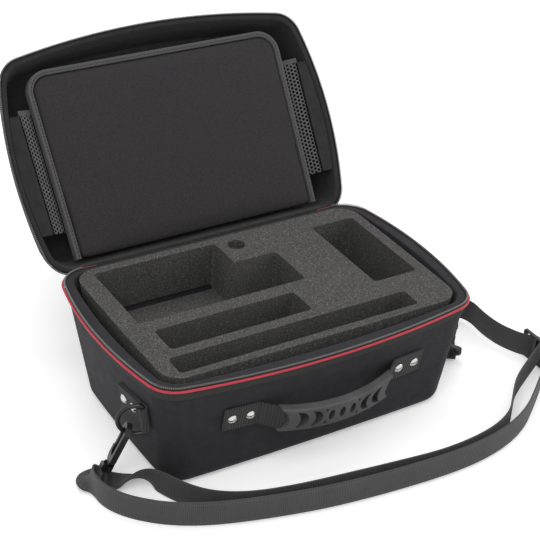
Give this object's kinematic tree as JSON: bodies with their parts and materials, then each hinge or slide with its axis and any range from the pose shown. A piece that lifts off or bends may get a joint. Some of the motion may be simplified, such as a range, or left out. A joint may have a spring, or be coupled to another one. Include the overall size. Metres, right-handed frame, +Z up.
{
  "type": "portable game console case",
  "caption": "Hard-shell zip carrying case with a hinged lid, cut foam insert, lid pocket, riveted carrying handle and clip-on shoulder strap.",
  "frame": {"origin": "middle of the flat bottom of the case", "axes": "+Z up, +X along the case, the handle on the -Y side, the hinge on the +Y side"},
  "size_m": [0.4829, 0.453, 0.2812],
  "materials": {
    "shell_fabric": "matte",
    "zip_tape": "matte",
    "piping": "satin",
    "zip_teeth": "satin",
    "foam": "matte",
    "lining": "matte",
    "binding": "matte",
    "mesh": "matte",
    "rubber": "matte",
    "nickel": "polished",
    "webbing": "matte",
    "black_plastic": "satin",
    "black_metal": "satin"
  },
  "bodies": {
    "base": {"base_shell": "shell_fabric", "base_zip_tape": "zip_tape", "red_piping": "piping", "base_zip_teeth": "zip_teeth", "foam_insert": "foam", "hinge_strip": "zip_tape", "handle_webbing": "webbing", "handle_grip": "rubber", "handle_rivets": "nickel", "tab_rivets": "nickel", "side_tab_left": "webbing", "side_tab_right": "webbing", "snap_hook_left": "black_metal", "snap_hook_right": "black_metal", "strap_loop_right": "webbing", "strap_tail_right": "webbing", "strap_upper_run": "webbing", "strap_inner_run": "webbing", "strap_loop_left": "webbing", "strap_outer_run": "webbing", "strap_adjuster": "black_plastic"},
    "lid": {"lid_shell": "shell_fabric", "lid_zip_tape": "zip_tape", "lid_zip_teeth": "zip_teeth", "pocket_panel": "lining", "panel_binding": "binding", "mesh_gusset_left": "mesh", "mesh_gusset_right": "mesh", "gusset_hem_left": "binding", "gusset_hem_right": "binding", "lining_strip_left": "lining", "lining_strip_right": "lining", "zip_slider_left": "black_metal", "zip_slider_right": "black_metal"},
    "ring_left": {"d_ring_left": "black_metal"},
    "gate_left": {"hook_gate_left": "black_metal"},
    "eye_left": {"swivel_eye_left": "black_metal"},
    "pull_left": {"zip_pull_left": "black_metal"},
    "ring_right": {"d_ring_right": "black_metal"},
    "gate_right": {"hook_gate_right": "black_metal"},
    "eye_right": {"swivel_eye_right": "black_metal"},
    "pull_right": {"zip_pull_right": "black_metal"}
  },
  "joints": [
    {"name": "lid_hinge", "type": "hinge", "parent": "base", "child": "lid", "pos_m": [0, 0.1125, 0.1065], "axis": [1, 0, 0], "range_deg": [0, 126], "deforming": ["hinge_strip"]},
    {"name": "ring_swing_left", "type": "hinge", "parent": "base", "child": "ring_left", "pos_m": [-0.16218, -0.06632, 0.0698], "axis": [-0.1607, -0.0158, 0.9869], "range_deg": [-4, 4]},
    {"name": "gate_snap_left", "type": "hinge", "parent": "base", "child": "gate_left", "pos_m": [-0.18116, -0.04986, 0.03454], "axis": [0.8362, -0.3848, -0.3907], "range_deg": [0, 20], "stiffness_Nm_per_rad": 0.02, "springref_deg": -8.59},
    {"name": "eye_swivel_left", "type": "hinge", "parent": "base", "child": "eye_left", "pos_m": [-0.17553, -0.05912, 0.05571], "axis": [-0.355, 0.1633, -0.9205], "range_deg": [-8, 8]},
    {"name": "pull_swing_left", "type": "hinge", "parent": "lid", "child": "pull_left", "pos_m": [-0.1235, 0.11844, 0.09792], "axis": [1, 0, 0], "range_deg": [-25, 60]},
    {"name": "ring_swing_right", "type": "hinge", "parent": "base", "child": "ring_right", "pos_m": [0.16218, -0.06632, 0.0698], "axis": [0.1607, -0.0158, 0.9869], "range_deg": [-2, 3.5]},
    {"name": "gate_snap_right", "type": "hinge", "parent": "base", "child": "gate_right", "pos_m": [0.18241, -0.04578, 0.03795], "axis": [-0.5148, -0.7272, -0.454], "range_deg": [0, 20], "stiffness_Nm_per_rad": 0.02, "springref_deg": -8.59},
    {"name": "eye_swivel_right", "type": "hinge", "parent": "base", "child": "eye_right", "pos_m": [0.17144, -0.05081, 0.05844], "axis": [0.2623, 0.3705, -0.891], "range_deg": [-8, 8]},
    {"name": "pull_swing_right", "type": "hinge", "parent": "lid", "child": "pull_right", "pos_m": [0.1235, 0.11844, 0.09792], "axis": [1, 0, 0], "range_deg": [-25, 60]}
  ]
}
